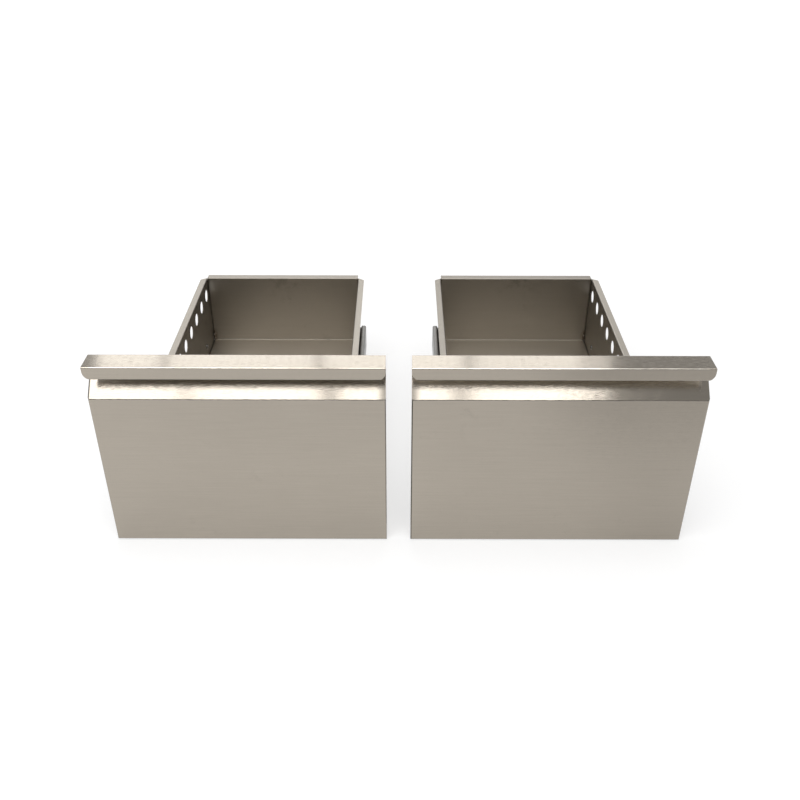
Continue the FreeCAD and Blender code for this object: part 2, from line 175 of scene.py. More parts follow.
class Nodes:
    """The node tree of a material or a world."""

    def __init__(self, owner):
        owner.use_nodes = True
        self.owner = owner
        self.tree = owner.node_tree
        self.tree.nodes.clear()
        self.known = {}

    def add(self, kind, settings=None, inputs=None, output=0):
        """Adds a node, makes its settings, fills its sockets by number or identifier and gives an output."""
        node = self.tree.nodes.new(kind)
        for name, setting in (settings or {}).items():
            setattr(node, name, setting)
        by_identifier = {socket.identifier: socket for socket in node.inputs}
        for name, value in (inputs or {}).items():
            socket = node.inputs[name] if isinstance(name, int) else by_identifier[name]
            if isinstance(value, Value):
                self.tree.links.new(value.socket, socket)
            else:
                socket.default_value = value
        outputs = {socket.identifier: socket for socket in node.outputs}
        found = node.outputs[output] if isinstance(output, int) else outputs[output]
        return Value(self, found)

    def once(self, kind, output):
        """An output of a node that has no inputs, shared by all who ask for it."""
        key = (kind, output)
        if key not in self.known:
            self.known[key] = self.add(kind, output=output)
        return self.known[key]

    def place(self):
        return self.once("ShaderNodeTexCoord", "Object")

    def normal(self):
        return self.once("ShaderNodeNewGeometry", "Normal")

    def vector(self, operation, *operands, **extra):
        inputs = dict(enumerate(operands)) | extra
        return self.add("ShaderNodeVectorMath", {"operation": operation}, inputs)

    def part(self, vector, axis):
        return self.add("ShaderNodeSeparateXYZ", inputs={"Vector": vector}, output=axis)

    def blend_vector(self, factor, a, b):
        settings = {"data_type": "VECTOR"}
        inputs = {"Factor_Float": factor, "A_Vector": a, "B_Vector": b}
        return self.add("ShaderNodeMix", settings, inputs, "Result_Vector")

    def blend_colour(self, factor, a, b, how="MIX"):
        settings = {"data_type": "RGBA", "blend_type": how}
        inputs = {"Factor_Float": factor, "A_Color": a, "B_Color": b}
        return self.add("ShaderNodeMix", settings, inputs, "Result_Color")

    def grey(self, value):
        return self.add("ShaderNodeCombineColor", inputs={"Red": value, "Green": value, "Blue": value})

    def noise(self, place, scale, detail, roughness):
        inputs = {"Vector": place, "Scale": scale, "Detail": detail, "Roughness": roughness}
        return self.add("ShaderNodeTexNoise", inputs=inputs, output="Fac")

    def bump(self, height, strength, distance):
        inputs = {"Height": height, "Strength": strength, "Distance": distance}
        return self.add("ShaderNodeBump", inputs=inputs, output="Normal")

    def finish(self, **inputs):
        """Adds the surface shader, with its sockets' words joined by underscores, and gives the material."""
        named = {name.replace("_", " "): value for name, value in inputs.items()}
        shader = self.add("ShaderNodeBsdfPrincipled", inputs=named)
        self.add_output("ShaderNodeOutputMaterial", shader)
        return self.owner

    def add_output(self, kind, shader):
        node = self.tree.nodes.new(kind)
        self.tree.links.new(shader.socket, node.inputs["Surface"])


def rgba(colour):
    return (*colour, 1.0)


def shade(colour, factor):
    return tuple(min(1.0, part * factor) for part in colour[:3]) + (1.0,)


# Materials


def side_facing(nodes):
    """1 where a face looks along X, where the brushing runs to the back instead of across."""
    return abs(nodes.part(nodes.normal(), "X")) > 0.7


def painted_bend_shade(nodes):
    """How much painted shade the narrow bends to the sides get: 1 where the right drawer turns towards the
    left one.
    """
    sideways = nodes.part(nodes.normal(), "X")
    turn = abs(sideways)
    between = (sideways * -1.0 > 0.0) * (nodes.part(nodes.place(), "X") > 0.0)
    return turn.ramp(0.3, 0.6) * (1.0 - turn.ramp(0.93, 0.99)) * (0.2 + between * 0.8)


def grain_place(nodes, turned, across, along):
    """The place, squeezed so that a noise on it draws fine lines along the brushing."""
    stretch = nodes.blend_vector(turned, (along, across, across), (across, along, across))
    return nodes.vector("MULTIPLY", nodes.place(), stretch)


def brushed_normal(nodes, turned, lines, spread):
    """Tilts the surface across its grain lines, which spreads a reflection across the brushing alone."""
    grain = nodes.blend_vector(turned, (1.0, 0.0, 0.0), (0.0, 1.0, 0.0))
    across = nodes.vector("CROSS_PRODUCT", grain, nodes.normal())
    slope = (lines - 0.5) * (2.0 * spread)
    tilt = nodes.vector("SCALE", across, Scale=slope)
    return nodes.vector("NORMALIZE", nodes.vector("ADD", nodes.normal(), tilt))


def brushed_sheet(name, look, heat=None, matt_painted_light=None, marks_and_painted_light=None):
    """Brushed stainless: grain lines, coarser streaks, hand marks, painted shade on the bends to the sides
    and, near the welds, a heat tint.

    One mask gives 1 where the sheet is matt with a pale tint, painted light that lifts the shade under the
    lips; another gives a factor on its brightness, for marks and for painted light and shade.
    """
    nodes = Nodes(bpy.data.materials.new(name))
    turned = side_facing(nodes)
    bend_shade = painted_bend_shade(nodes)
    lines = look.fineness
    fine = nodes.noise(grain_place(nodes, turned, lines, lines / GRAIN_LENGTH), 1.0, 3.0, 0.6)
    coarse = grain_place(nodes, turned, lines / STREAK_WIDTH, lines / STREAK_LENGTH)
    streaks = nodes.noise(coarse, 1.0, 2.0, 0.6)
    marks = nodes.noise(nodes.place(), 9.0, 5.0, 0.62)
    prints = nodes.noise(nodes.place(), 38.0, 4.0, 0.7).ramp(0.56, 0.74) * marks.ramp(0.45, 0.62)
    light = 1.0 + (streaks - 0.5) * (2.0 * look.streaks)
    light = light + (marks - 0.5) * look.clouding - prints * look.smudges
    # Painted shade on the narrow bends to the sides
    light = light * (1.0 - bend_shade * look.edges)
    roughness = look.roughness + (fine - 0.5) * 0.10 + (marks - 0.5) * look.clouding + prints * 0.12
    metallic = 1.0
    if marks_and_painted_light:
        light = light * marks_and_painted_light(nodes)
    if matt_painted_light:
        matt = matt_painted_light(nodes)
        roughness = roughness + matt * 0.5
        metallic = 1.0 - matt
    colour = nodes.blend_colour(1.0, rgba(look.tint), nodes.grey(light), "MULTIPLY")
    # The matt faces get a pale tint, painted light in the shade under the lips
    if matt_painted_light:
        colour = nodes.blend_colour(matt, colour, rgba(look.painted_light_tint))
    if heat:
        colour = nodes.blend_colour(heat(nodes, marks), colour, rgba(look.heat_tint))
    return nodes.finish(
        Base_Color=colour,
        Metallic=metallic,
        Roughness=roughness.at_least(0.05),
        Normal=brushed_normal(nodes, turned, fine, look.spread),
    )


def inside_grip(nodes):
    """1 on the inner faces of the grips, between the lip and the riser and under the top, whose pale tint
    paints light into the shade under the lip.
    """
    low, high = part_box("right_drawer_front_skin")
    depth = nodes.part(nodes.place(), "Y")
    height = nodes.part(nodes.place(), "Z")
    lip = high.z - LIP_HEIGHT
    behind_lip = depth.ramp(low.y + 0.5 * SHEET, low.y + 0.9 * SHEET)
    before_riser = 1.0 - depth.ramp(high.y - 0.7 * SHEET, high.y - 0.3 * SHEET)
    over_lip = height.ramp(lip + SHEET, lip + 2 * SHEET)
    under_top = 1.0 - height.ramp(high.z - 0.9 * SHEET, high.z - 0.5 * SHEET)
    return behind_lip * before_riser * over_lip * under_top


def front_painted_light(nodes):
    """The fronts' brightness by place: a painted highlight on the bend along the grip's top, a painted dark
    line just under it, and painted shade along the lowest edge.

    The recess gets painted light where the lip covers it, and painted shade at its ends.
    """
    low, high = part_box("right_drawer_front_skin")
    sideways = nodes.part(nodes.place(), "X")
    depth = nodes.part(nodes.place(), "Y")
    height = nodes.part(nodes.place(), "Z")
    lip = high.z - LIP_HEIGHT
    foremost = 1.0 - depth.ramp(low.y + 0.5 * SHEET, low.y + 0.9 * SHEET)
    # A painted highlight on the bend along the grip's top, and a painted dark line just under it
    fold_highlight = foremost * height.ramp(high.z - 0.6 * MM, high.z - 0.3 * MM)
    dark_line_under_fold = foremost * height.ramp(high.z - 1.8 * MM, high.z - 1.2 * MM) - fold_highlight
    # Painted shade along the lowest edge of the front
    base_shade = 1.0 - height.ramp(low.z + 1.0 * MM, low.z + 2.2 * MM)
    upward = nodes.part(nodes.normal(), "Z")
    recess = upward.ramp(0.5, 0.6) * (1.0 - upward.ramp(0.8, 0.9))
    inner = 1.0 - abs(sideways).ramp(low.x, low.x + 15 * MM)
    outer = 1.0 - (sideways + high.x).ramp(0.8 * MM, 2.6 * MM)
    # Painted light in the recess where the lip covers it, painted shade at its ends
    covered = (high.x - abs(sideways)).ramp(8 * MM, 14 * MM) * height.ramp(lip - 18 * MM, lip - 11 * MM)
    painted_lift = covered * (0.7 + sideways.ramp(0.0, 2 * MM) * 0.7)
    ends = inner * 0.65 + outer * 0.92
    return 1.0 + fold_highlight * 0.9 - dark_line_under_fold * 0.12 - base_shade * 0.5 + recess * (painted_lift - ends)


def box_marks_and_painted_light(nodes):
    """The boxes' brightness by place: painted light on the floor, painted shade on the walls and flanges,
    hand marks near the back and darker seams.
    """
    low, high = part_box("right_drawer_tray")
    centre = (low.x + high.x) / 2
    place = nodes.place()
    sideways = nodes.part(place, "X")
    height = nodes.part(place, "Z")
    from_back = high.y - BACK_FLANGE - nodes.part(place, "Y")
    from_floor = height - (low.z + SHEET)
    from_middle = abs(abs(sideways) - centre)
    from_wall = abs(from_middle - (high.x - low.x) / 2)
    upward = nodes.part(nodes.normal(), "Z").ramp(0.9, 0.97)
    forward = from_back.ramp(60 * MM, 250 * MM)
    # Painted light on the floor of the box, less towards the front
    floor = upward * (1.0 - from_floor.ramp(2 * MM, 5 * MM))
    top = upward * height.ramp(high.z - 8 * MM, high.z - 5 * MM)
    behind = 1.0 - from_back.ramp(-2 * MM, 0.0)
    outer = sideways.ramp(centre * 0.9, centre * 1.1)
    right = sideways.ramp(0.0, 2 * MM)
    # Painted shade on the flanges
    flange = top * (0.15 + right * (0.13 - outer * 0.3)).at_least(behind * (0.2 + right * 0.1))
    # Painted shade on the inner walls
    inside = (1.0 - upward) * (1.0 - behind)
    back = inside * (1.0 - from_back.ramp(1 * MM, 3 * MM))
    hand = (1.0 - from_middle.ramp(10 * MM, 60 * MM)) * height.ramp(high.z - 45 * MM, high.z - 5 * MM)
    blots = nodes.noise(place, 60.0, 3.0, 0.6).ramp(0.45, 0.7)
    seam = 1.0 - from_wall.at_least(abs(from_back).at_most(abs(from_floor))).ramp(0.7 * MM, 2.5 * MM)
    light = 1.0 + floor * (0.7 - forward * 0.45) - flange - inside * 0.3 - back * hand * blots * 0.13
    return light * (1.0 - seam * 0.4)


def heat_near_welds(nodes, marks):
    """How strong the heat tint is: most at the welds in the boxes' back lower corners, none 9 mm away."""
    low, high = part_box("right_drawer_tray")
    centre = (low.x + high.x) / 2
    place = nodes.place()
    across = abs(abs(nodes.part(place, "X")) - centre) - (high.x - low.x) / 2
    back = nodes.part(place, "Y") - (high.y - BACK_FLANGE)
    up = (nodes.part(place, "Z") - (low.z + 10 * MM)) * 0.5
    squared = across * across + back * back + up * up
    near = squared.math("SQRT", squared)
    return (1.0 - near.ramp(2 * MM, 9 * MM)) * (0.25 + marks * 0.5)


def plated_steel(name, tint, roughness, mottle):
    """Zinc plated or plain strip: drawing lines to the back, a faint mottle and a few scuffs."""
    nodes = Nodes(bpy.data.materials.new(name))
    lines = nodes.noise(nodes.vector("MULTIPLY", nodes.place(), (1500.0, 7.0, 1500.0)), 1.0, 3.0, 0.6)
    spots = nodes.noise(nodes.place(), 260.0, 3.0, 0.6)
    wear = nodes.noise(nodes.place(), 55.0, 5.0, 0.65).ramp(0.5, 0.75)
    light = 1.0 + (lines - 0.5) * 0.16 + (spots - 0.5) * mottle - wear * 0.10
    return nodes.finish(
        Base_Color=nodes.blend_colour(1.0, tint, nodes.grey(light), "MULTIPLY"),
        Metallic=1.0,
        Roughness=(roughness + (spots - 0.5) * 0.2 + wear * 0.12).at_least(0.05),
        Normal=nodes.bump(lines, 0.25, 0.05 * MM),
    )


def turned_steel(name, tint, roughness):
    """Screws, rivets, balls and bright welds: fine scratches in every direction."""
    nodes = Nodes(bpy.data.materials.new(name))
    scratches = nodes.noise(nodes.place(), 1800.0, 2.0, 0.7)
    dull = nodes.noise(nodes.place(), 240.0, 3.0, 0.6)
    light = 1.0 + (scratches - 0.5) * 0.2 - dull.ramp(0.5, 0.8) * 0.2
    return nodes.finish(
        Base_Color=nodes.blend_colour(1.0, tint, nodes.grey(light), "MULTIPLY"),
        Metallic=1.0,
        Roughness=(roughness + (dull - 0.5) * 0.2).at_least(0.04),
        Normal=nodes.bump(scratches, 0.2, 0.03 * MM),
    )


def weld_steel(name, tint, burnt):
    """Weld metal: a crust with burnt patches."""
    nodes = Nodes(bpy.data.materials.new(name))
    patches = nodes.noise(nodes.place(), 420.0, 4.0, 0.6)
    crust = nodes.noise(nodes.place(), 2600.0, 3.0, 0.6)
    return nodes.finish(
        Base_Color=nodes.blend_colour(patches.ramp(0.35, 0.65), tint, burnt),
        Metallic=0.8,
        Roughness=0.32 + patches * 0.25,
        Normal=nodes.bump(crust, 0.5, 0.1 * MM),
    )


def moulded(name, tint, roughness, grain, depth):
    """Rubber or plastic with a fine moulded grain, dust in it and a rubbed sheen."""
    nodes = Nodes(bpy.data.materials.new(name))
    pores = nodes.noise(nodes.place(), grain, 3.0, 0.6)
    dust = nodes.noise(nodes.place(), 130.0, 4.0, 0.65).ramp(0.48, 0.72)
    return nodes.finish(
        Base_Color=nodes.blend_colour(dust * 0.3, tint, shade(tint, 1.7)),
        Roughness=roughness + (pores - 0.5) * 0.2 + dust * 0.1,
        Normal=nodes.bump(pores, 0.35, depth),
    )


# Mesh work


def finish_nodes(names, material):
    """Gives CAD nodes a material in every slot they have."""
    for name in names:
        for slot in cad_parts[name].material_slots:
            slot.material = material


def smooth_mesh(shape, name, angle=SHARP_EDGE):
    """A mesh from a bmesh, shaded smooth apart from its sharper edges."""
    mesh = bpy.data.meshes.new(name)
    bmesh.ops.recalc_face_normals(shape, faces=shape.faces)
    shape.to_mesh(mesh)
    shape.free()
    mesh.shade_smooth()
    mesh.set_sharp_from_angle(angle=angle)
    return mesh


def add_piece(name, mesh, body, material):
    piece = bpy.data.objects.new(name, mesh)
    bpy.context.scene.collection.objects.link(piece)
    mesh.materials.clear()
    mesh.materials.append(material)
    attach(piece, body)
    return piece


def softened(node, width):
    """A copy of a node's solid with its flat faces merged and its sharp edges rounded."""
    shape = bmesh.new()
    shape.from_mesh(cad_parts[node].data)
    bmesh.ops.remove_doubles(shape, verts=shape.verts, dist=0.005 * MM)
    bmesh.ops.dissolve_limit(shape, angle_limit=math.radians(2), verts=shape.verts, edges=shape.edges)
    sharp = [e for e in shape.edges if len(e.link_faces) == 2 and e.calc_face_angle() > math.radians(40)]
    bmesh.ops.bevel(
        shape, geom=sharp, offset=width, segments=3, profile=0.5, affect="EDGES", clamp_overlap=True)
    return shape


def lathe(shape, profile, segments, matrix):
    """Turns a profile of radius and height pairs round Z. A radius of 0 closes an end."""
    rings = []
    for radius, height in profile:
        if radius == 0:
            rings.append([shape.verts.new(matrix @ Vector((0, 0, height)))])
            continue
        turns = [2 * math.pi * i / segments for i in range(segments)]
        points = [Vector((radius * math.cos(a), radius * math.sin(a), height)) for a in turns]
        rings.append([shape.verts.new(matrix @ p) for p in points])
    for lower, upper in zip(rings, rings[1:]):
        for i in range(segments):
            j = (i + 1) % segments
            corners = [lower[i % len(lower)], lower[j % len(lower)]]
            corners += [upper[j % len(upper)], upper[i % len(upper)]]
            shape.faces.new(list(dict.fromkeys(corners)))
    return rings


def close_loop(rings, shape, segments):
    """Joins the last ring of a lathe to its first, for a ring-shaped part."""
    for i in range(segments):
        j = (i + 1) % segments
        shape.faces.new([rings[-1][i], rings[-1][j], rings[0][j], rings[0][i]])


def turned_to(place, axis):
    """A matrix that puts the lathe's Z along an axis at a place."""
    return Matrix.Translation(place) @ Vector((0, 0, 1)).rotation_difference(axis).to_matrix().to_4x4()


def cross_cutter(shape, radius, depth, matrix):
    """A cross that narrows downwards, from a depth below the matrix's place to as much above it."""
    width = radius * 0.24
    outline = []
    for quarter in range(4):
        turn = Matrix.Rotation(math.pi / 2 * quarter, 3, "Z")
        corners = (radius, -width, 0), (radius, width, 0), (width, width, 0)
        outline += [turn @ Vector(corner) for corner in corners]
    low, high = [
        [shape.verts.new(matrix @ Vector((p.x * scale, p.y * scale, height))) for p in outline]
        for height, scale in ((-depth, 0.45), (depth, 1.2))
    ]
    shape.faces.new(low[::-1])
    shape.faces.new(high)
    for i in range(len(outline)):
        j = (i + 1) % len(outline)
        shape.faces.new([low[i], low[j], high[j], high[i]])


def cut_mesh(mesh, cutter_mesh):
    """The mesh without the cutter's volume."""
    collection = bpy.context.scene.collection
    whole = bpy.data.objects.new("whole", mesh)
    cutter = bpy.data.objects.new("cutter", cutter_mesh)
    for temporary in (whole, cutter):
        collection.objects.link(temporary)
    modifier = whole.modifiers.new("recess", "BOOLEAN")
    modifier.object = cutter
    modifier.solver = "EXACT"
    bpy.context.view_layer.update()
    result = bpy.data.meshes.new_from_object(whole.evaluated_get(bpy.context.evaluated_depsgraph_get()))
    for temporary in (whole, cutter):
        bpy.data.objects.remove(temporary)
    if len(result.polygons) < len(mesh.polygons) / 2:
        raise RuntimeError("the recesses took away the screws")
    result.shade_smooth()
    result.set_sharp_from_angle(angle=SHARP_EDGE)
    return result


def cross_recesses(places, axis, radius):
    """Cutters for a cross recess in each screw head. The axis points out of the heads."""
    turn = Matrix.Rotation(math.radians(20), 4, "Z")
    shape = bmesh.new()
    for place in places:
        cross_cutter(shape, radius, RECESS_DEPTH, turned_to(place, axis) @ turn)
    return smooth_mesh(shape, "recesses")


# Settings


class SteelSettings(bpy.types.PropertyGroup):
    """The brushed sheet of the fronts and the boxes."""

    tint: bpy.props.FloatVectorProperty(
        name="Tint", description="Colour of the bare sheet",
        subtype="COLOR", default=(0.396, 0.358, 0.306), min=0, max=1)
    heat_tint: bpy.props.FloatVectorProperty(
        name="Heat tint", description="Colour left by welding",
        subtype="COLOR", default=(0.12, 0.07, 0.035), min=0, max=1)
    # A pale colour on the grips' inner faces, painted light that lifts their shade
    painted_light_tint: bpy.props.FloatVectorProperty(
        name="Matt tint", description="Colour of the faces that aren't brushed",
        subtype="COLOR", default=(0.80, 0.79, 0.77), min=0, max=1)
    roughness: bpy.props.FloatProperty(
        name="Roughness", description="Blur of reflections along the brushing",
        subtype="FACTOR", default=0.11, min=0.05, max=1)
    spread: bpy.props.FloatProperty(
        name="Spread", description="How far the grain tilts the surface across the brushing",
        default=0.42, min=0, max=2)
    fineness: bpy.props.FloatProperty(
        name="Fineness", description="Grain lines per metre", default=8000.0, min=100, max=10000)
    streaks: bpy.props.FloatProperty(
        name="Streaks", description="Strength of the coarser streaks",
        subtype="FACTOR", default=0.06, min=0, max=1)
    clouding: bpy.props.FloatProperty(
        name="Clouding", description="Strength of the broad light and dark areas",
        subtype="FACTOR", default=0.10, min=0, max=1)
    smudges: bpy.props.FloatProperty(
        name="Smudges", description="Darkening by hand marks",
        subtype="FACTOR", default=0.05, min=0, max=1)
    # Strength of the painted shade on the bends to the sides
    edges: bpy.props.FloatProperty(
        name="Edges", description="Darkening of the bends to the sides",
        subtype="FACTOR", default=0.8, min=0, max=1)


class SlideSettings(bpy.types.PropertyGroup):
    """The ball-bearing slides."""

    zinc: bpy.props.FloatVectorProperty(
        name="Zinc", description="Colour of the plated rails",
        subtype="COLOR", default=(0.215, 0.21, 0.20), min=0, max=1)
    cage: bpy.props.FloatVectorProperty(
        name="Cage strip", description="Colour of the ball cages",
        subtype="COLOR", default=(0.30, 0.30, 0.305), min=0, max=1)
    ball: bpy.props.FloatVectorProperty(
        name="Balls", description="Colour of the balls",
        subtype="COLOR", default=(0.55, 0.55, 0.56), min=0, max=1)
    lever: bpy.props.FloatVectorProperty(
        name="Levers", description="Colour of the release levers",
        subtype="COLOR", default=(0.02, 0.02, 0.021), min=0, max=1)
    rubber: bpy.props.FloatVectorProperty(
        name="Rubber", description="Colour of the pads and stops",
        subtype="COLOR", default=(0.26, 0.26, 0.25), min=0, max=1)
    ball_segments: bpy.props.IntProperty(
        name="Ball segments", description="Faces round each ball", default=20, min=8, max=64)


class FastenerSettings(bpy.types.PropertyGroup):
    """Screws, rivets and welds."""

    screw: bpy.props.FloatVectorProperty(
        name="Screws", description="Colour of the screws and rivets",
        subtype="COLOR", default=(0.19, 0.185, 0.175), min=0, max=1)
    weld: bpy.props.FloatVectorProperty(
        name="Welds", description="Colour of the weld beads",
        subtype="COLOR", default=(0.20, 0.17, 0.14), min=0, max=1)
    burnt: bpy.props.FloatVectorProperty(
        name="Burnt welds", description="Colour of the burnt patches on the beads",
        subtype="COLOR", default=(0.09, 0.06, 0.035), min=0, max=1)
    bright: bpy.props.FloatVectorProperty(
        name="Bright welds", description="Colour of the spot welds, tacks and drops",
        subtype="COLOR", default=(0.5, 0.48, 0.44), min=0, max=1)
    head: bpy.props.FloatProperty(
        name="Head", description="Diameter of a screw head",
        subtype="DISTANCE", unit="LENGTH", default=9 * MM, min=6 * MM, max=9 * MM)
    recess: bpy.props.FloatProperty(
        name="Recess", description="Reach of the cross recess from the head's middle",
        subtype="DISTANCE", unit="LENGTH", default=2.1 * MM, min=0, max=4 * MM)
    bead: bpy.props.FloatProperty(
        name="Bead radius", description="Radius of a weld bead",
        subtype="DISTANCE", unit="LENGTH", default=1.9 * MM, min=0.2 * MM, max=3 * MM)
    bead_length: bpy.props.FloatProperty(
        name="Bead length", description="Height of the welds in the corners",
        subtype="DISTANCE", unit="LENGTH", default=14 * MM, min=2 * MM, max=100 * MM)


class StudioSettings(bpy.types.PropertyGroup):
    """Floor, lamps and camera."""

    floor: bpy.props.FloatVectorProperty(
        name="Floor", description="Colour of the floor",
        subtype="COLOR", default=(0.5, 0.5, 0.5), min=0, max=1)
    floor_lift: bpy.props.FloatProperty(
        name="Floor lift", description="Light that the camera sees on the floor besides its own",
        default=0.55, min=0, max=2)
    fill: bpy.props.FloatProperty(
        name="Fill", description="Strength of the light from all round", default=0.55, min=0, max=3)
    front_box: bpy.props.FloatProperty(
        name="Front softboxes", description="Brightness of the softboxes over the camera",
        default=3.1, min=0, max=20)
    back_box: bpy.props.FloatProperty(
        name="Back softboxes", description="Brightness of the softboxes behind the unit",
        default=1.9, min=0, max=20)
    lens: bpy.props.FloatProperty(
        name="Lens", description="Focal length in millimetres", default=40.78, min=10, max=200)
    tilt: bpy.props.FloatProperty(
        name="Tilt", description="How far the camera looks down",
        subtype="ANGLE", default=math.radians(32.912))
    roll: bpy.props.FloatProperty(
        name="Roll", description="How far the camera leans to one side",
        subtype="ANGLE", default=math.radians(0.14))
    camera: bpy.props.FloatVectorProperty(
        name="Camera", description="Place of the camera",
        subtype="TRANSLATION", unit="LENGTH", default=(0.0016, -1.2867, 0.9076))


# Fronts and boxes


class DRAWERS_OT_brush_fronts(bpy.types.Operator):
    """Brush the fronts along their width, with painted light and shade by place, and finish the duller lids
    behind them
    """

    bl_idname = "drawers.brush_fronts"
    bl_label = "Brush Fronts"

    def execute(self, context):
        look = context.scene.drawer_fronts
        steel = brushed_sheet("brushed_front", look, matt_painted_light=inside_grip, marks_and_painted_light=front_painted_light)
        finish_nodes([f"{drawer}_front_skin" for drawer in DRAWERS], steel)
        duller = brushed_sheet("liner_sheet", context.scene.drawer_boxes)
        finish_nodes([f"{drawer}_front_liner" for drawer in DRAWERS], duller)
        return {"FINISHED"}


class DRAWERS_OT_finish_boxes(bpy.types.Operator):
    """Finish the boxes: duller sheet with hand marks, painted light and shade by place, and a heat tint at
    the welds
    """

    bl_idname = "drawers.finish_boxes"
    bl_label = "Finish Boxes"

    def execute(self, context):
        look = context.scene.drawer_boxes
        steel = brushed_sheet("box_sheet", look, heat=heat_near_welds, marks_and_painted_light=box_marks_and_painted_light)
        sheets = ("tray", "wall_l", "wall_r")
        finish_nodes([f"{drawer}_{sheet}" for drawer in DRAWERS for sheet in sheets], steel)
        return {"FINISHED"}


def weld_bead(shape, start, end, radius):
    """A rippled bead between two points, closed at both ends."""
    length = (end - start).length
    pitch = 1.7 * radius
    swell = 0.13
    ripples = max(3, round(length / pitch))
    steps = ripples * 6
    profile = [(0, 0)]
    for i in range(1, steps):
        share = i / steps
        ends = min(1.0, 3.2 * radius / length + 8 * min(share, 1 - share))
        ripple = 1.0 + swell * math.cos(2 * math.pi * ripples * share)
        profile.append((radius * ends * ripple, length * share))
    profile.append((0, length))
    lathe(shape, profile, BEAD_SIDES, turned_to(start, end - start))


class DRAWERS_OT_lay_welds(bpy.types.Operator):
    """Lay the weld beads in the boxes' corners and press the spot welds into their tabs"""

    bl_idname = "drawers.lay_welds"
    bl_label = "Lay Welds"

    def execute(self, context):
        fasteners = context.scene.drawer_fasteners
        weld = weld_steel("weld_metal", rgba(fasteners.weld), rgba(fasteners.burnt))
        bright = turned_steel("bright_weld", rgba(fasteners.bright), 0.2)
        for drawer in DRAWERS:
            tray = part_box(f"{drawer}_tray")
            beads = bmesh.new()
            spots = bmesh.new()
            for node, sign in sides(drawer):
                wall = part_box(node("wall"))
                self.corners(beads, spots, fasteners, tray, wall, sign)
                self.spots(spots, wall, sign)
            for name, shape, steel in (("weld_beads", beads, weld), ("spot_welds", spots, bright)):
                mesh = smooth_mesh(shape, name, SHARP_WELD)
                add_piece(f"{drawer}_{name}", mesh, drawer, steel)
        return {"FINISHED"}

    def corners(self, beads, drops, fasteners, tray, wall, sign):
        """Beads up the corners with drops beside them, a tack at the back's top, and beads on the floor."""
        radius = fasteners.bead
        rise = Vector((0, 0, fasteners.bead_length))
        seam = tray[1].x if sign > 0 else tray[0].x
        back = wall[1].y - SHEET
        front = wall[0].y + 2 * SHEET
        floor = tray[0].z + SHEET
        inset = 1.1 * MM
        sunk = 0.8 * MM
        for depth, inward in ((back - inset, -1), (front + inset, 1)):
            foot = Vector((seam - sign * sunk, depth, floor - sunk))
            weld_bead(beads, foot, foot + rise, radius)
            for height in (sunk, fasteners.bead_length):
                beside = Vector((-sign * 2.4 * MM, 0, height))
                before = Vector((0, inward * 3.7 * MM, height - 0.5 * MM))
                for place in (foot + beside, foot + before):
                    ball = Matrix.Translation(place) @ Matrix.Diagonal((1, 1, 1.3, 1))
                    bmesh.ops.create_icosphere(drops, subdivisions=2, radius=WELD_DROP, matrix=ball)
        tack = Vector((seam + sign * 0.5 * MM, back, wall[1].z - TACK_LENGTH - 0.2 * MM))
        weld_bead(drops, tack, tack + Vector((0, 0, TACK_LENGTH)), TACK_RADIUS)
        half = Vector((0, SEAM_BEAD / 2, 0))
        for share in (0.12, 0.37, 0.63, 0.88):
            middle = Vector((seam, front + (back - front) * share, floor - 0.2 * MM))
            weld_bead(beads, middle - half, middle + half, radius * 0.7)

    def spots(self, shape, wall, sign):
        """Shallow rings on the back tab and under the floor flange, where the sheets are pressed together."""
        low, high = wall
        ring = [(0, 0.03 * MM), (1.2 * MM, 0.05 * MM), (1.9 * MM, 0.16 * MM)]
        ring += [(2.4 * MM, 0.12 * MM), (2.7 * MM, -0.2 * MM)]
        across = (low.x if sign > 0 else high.x) + sign * 6 * MM
        for share in (0.25, 0.42, 0.59, 0.76):
            place = Vector((across, high.y, low.z + (high.z - low.z) * share))
            lathe(shape, ring, SPOT_SIDES, turned_to(place, Vector((0, 1, 0))))
        for share in (0.08, 0.25, 0.42, 0.58, 0.75, 0.92):
            place = Vector((across, low.y + (high.y - low.y) * share, low.z))
            lathe(shape, ring, SPOT_SIDES, turned_to(place, Vector((0, 0, -1))))


# Slides


class DRAWERS_OT_plate_slides(bpy.types.Operator):
    """Plate the rails with zinc and finish the cages as plain strip"""

    bl_idname = "drawers.plate_slides"
    bl_label = "Plate Slides"

    def execute(self, context):
        look = context.scene.drawer_slides
        zinc = plated_steel("zinc_rail", rgba(look.zinc), 0.32, 0.14)
        strip = plated_steel("cage_strip", rgba(look.cage), 0.38, 0.06)
        for drawer in DRAWERS:
            for node, _ in sides(drawer):
                finish_nodes([node(rail) for rail in ("cabinet_rail", "middle_rail", "drawer_rail")], zinc)
                finish_nodes([node(cage) for cage in ("outer_cage", "inner_cage")], strip)
        return {"FINISHED"}


